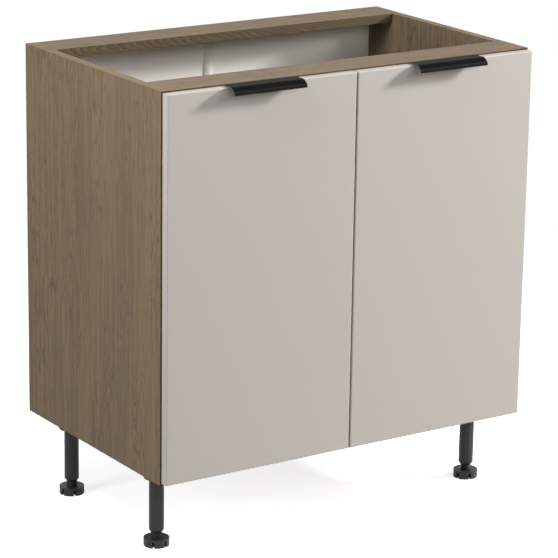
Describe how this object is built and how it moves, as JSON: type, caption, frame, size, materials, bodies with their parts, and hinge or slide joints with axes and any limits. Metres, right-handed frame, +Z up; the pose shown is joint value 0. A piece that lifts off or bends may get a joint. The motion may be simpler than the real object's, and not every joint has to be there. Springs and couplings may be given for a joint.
{
  "type": "kitchen base cabinet",
  "caption": "Kitchen base cabinet without worktop: oak-look body, two matt beige overlay doors with black edge handles, one shelf, screw legs.",
  "frame": {"origin": "on the floor, in the middle of the footprint", "axes": "+X to the right seen from the front, +Y to the wall behind, +Z up"},
  "size_m": [0.8, 0.5342, 0.87],
  "materials": {
    "oak_board": "oak decor melamine board, fine vertical grain, matt",
    "white_back": "white faced thin fibreboard",
    "white_strip": "white plastic joining profile",
    "cashmere_front": "matt beige foil on fibreboard, soft edges",
    "black_metal": "black satin powder coat",
    "leg_plastic": "dark moulded plastic",
    "nickel": "nickel plated pressed steel",
    "zinc": "zinc plated",
    "beech": "plain beech dowel",
    "clear_soft": "soft clear buffer"
  },
  "bodies": {
    "carcass": {"left_side": "oak_board", "right_side": "oak_board", "bottom_panel": "oak_board", "front_rail": "oak_board", "rear_rail": "oak_board", "shelf": "oak_board", "shelf_pins": "nickel", "back_sheet_left": "white_back", "back_sheet_right": "white_back", "back_joint_strip": "white_strip", "back_nails": "zinc", "cam_locks": "zinc", "cam_bolts": "zinc", "dowels": "beech", "left_hinge_arms": "nickel", "right_hinge_arms": "nickel", "left_arm_pins": "zinc", "right_arm_pins": "zinc", "left_arm_screws": "zinc", "right_arm_screws": "zinc", "left_hinge_plates": "nickel", "right_hinge_plates": "nickel", "left_plate_screws": "nickel", "right_plate_screws": "nickel", "front_left_leg_collar": "leg_plastic", "front_right_leg_collar": "leg_plastic", "rear_left_leg_collar": "leg_plastic", "rear_right_leg_collar": "leg_plastic", "front_left_leg_tube": "leg_plastic", "front_right_leg_tube": "leg_plastic", "rear_left_leg_tube": "leg_plastic", "rear_right_leg_tube": "leg_plastic", "leg_screws": "zinc"},
    "left_inner_links": {"left_inner_links": "nickel"},
    "left_outer_links": {"left_outer_links": "nickel"},
    "left_door": {"left_door": "cashmere_front", "left_handle": "black_metal", "left_handle_screws": "black_metal", "left_door_buffers": "clear_soft", "left_hinge_cups": "nickel", "left_cup_screws": "nickel", "left_cup_pins": "zinc"},
    "right_inner_links": {"right_inner_links": "nickel"},
    "right_outer_links": {"right_outer_links": "nickel"},
    "right_door": {"right_door": "cashmere_front", "right_handle": "black_metal", "right_handle_screws": "black_metal", "right_door_buffers": "clear_soft", "right_hinge_cups": "nickel", "right_cup_screws": "nickel", "right_cup_pins": "zinc"},
    "front_left_foot": {"front_left_foot": "leg_plastic"},
    "front_right_foot": {"front_right_foot": "leg_plastic"},
    "rear_left_foot": {"rear_left_foot": "leg_plastic"},
    "rear_right_foot": {"rear_right_foot": "leg_plastic"}
  },
  "joints": [
    {"name": "left_inner_link_pivot", "type": "hinge", "parent": "carcass", "child": "left_inner_links", "pos_m": [-0.3582, -0.2171, 0.5105], "axis": [0, 0, 1], "range_deg": [0, 27]},
    {"name": "left_door_pivot", "type": "hinge", "parent": "left_inner_links", "child": "left_door", "pos_m": [-0.387, -0.2314, 0.5105], "axis": [0, 0, -1], "range_deg": [0, 121.9]},
    {"name": "left_outer_link_pivot", "type": "hinge", "parent": "left_door", "child": "left_outer_links", "pos_m": [-0.387, -0.2364, 0.5105], "axis": [0, 0, 1], "range_deg": [0, 113.8]},
    {"name": "right_inner_link_pivot", "type": "hinge", "parent": "carcass", "child": "right_inner_links", "pos_m": [0.3582, -0.2171, 0.5105], "axis": [0, 0, -1], "range_deg": [0, 27]},
    {"name": "right_door_pivot", "type": "hinge", "parent": "right_inner_links", "child": "right_door", "pos_m": [0.387, -0.2314, 0.5105], "axis": [0, 0, 1], "range_deg": [0, 121.9]},
    {"name": "right_outer_link_pivot", "type": "hinge", "parent": "right_door", "child": "right_outer_links", "pos_m": [0.387, -0.2364, 0.5105], "axis": [0, 0, -1], "range_deg": [0, 113.8]},
    {"name": "front_left_foot_screw", "type": "slide", "parent": "carcass", "child": "front_left_foot", "axis": [0, 0, 1], "range_m": [-0.02, 0.012]},
    {"name": "front_right_foot_screw", "type": "slide", "parent": "carcass", "child": "front_right_foot", "axis": [0, 0, 1], "range_m": [-0.02, 0.012]},
    {"name": "rear_left_foot_screw", "type": "slide", "parent": "carcass", "child": "rear_left_foot", "axis": [0, 0, 1], "range_m": [-0.02, 0.012]},
    {"name": "rear_right_foot_screw", "type": "slide", "parent": "carcass", "child": "rear_right_foot", "axis": [0, 0, 1], "range_m": [-0.02, 0.012]}
  ],
  "couplings": [
    {"joint": "left_inner_link_pivot", "follows": "left_door_pivot", "ratio": 0.2207},
    {"joint": "left_outer_link_pivot", "follows": "left_door_pivot", "ratio": 0.93337},
    {"joint": "right_inner_link_pivot", "follows": "right_door_pivot", "ratio": 0.2207},
    {"joint": "right_outer_link_pivot", "follows": "right_door_pivot", "ratio": 0.93337}
  ]
}
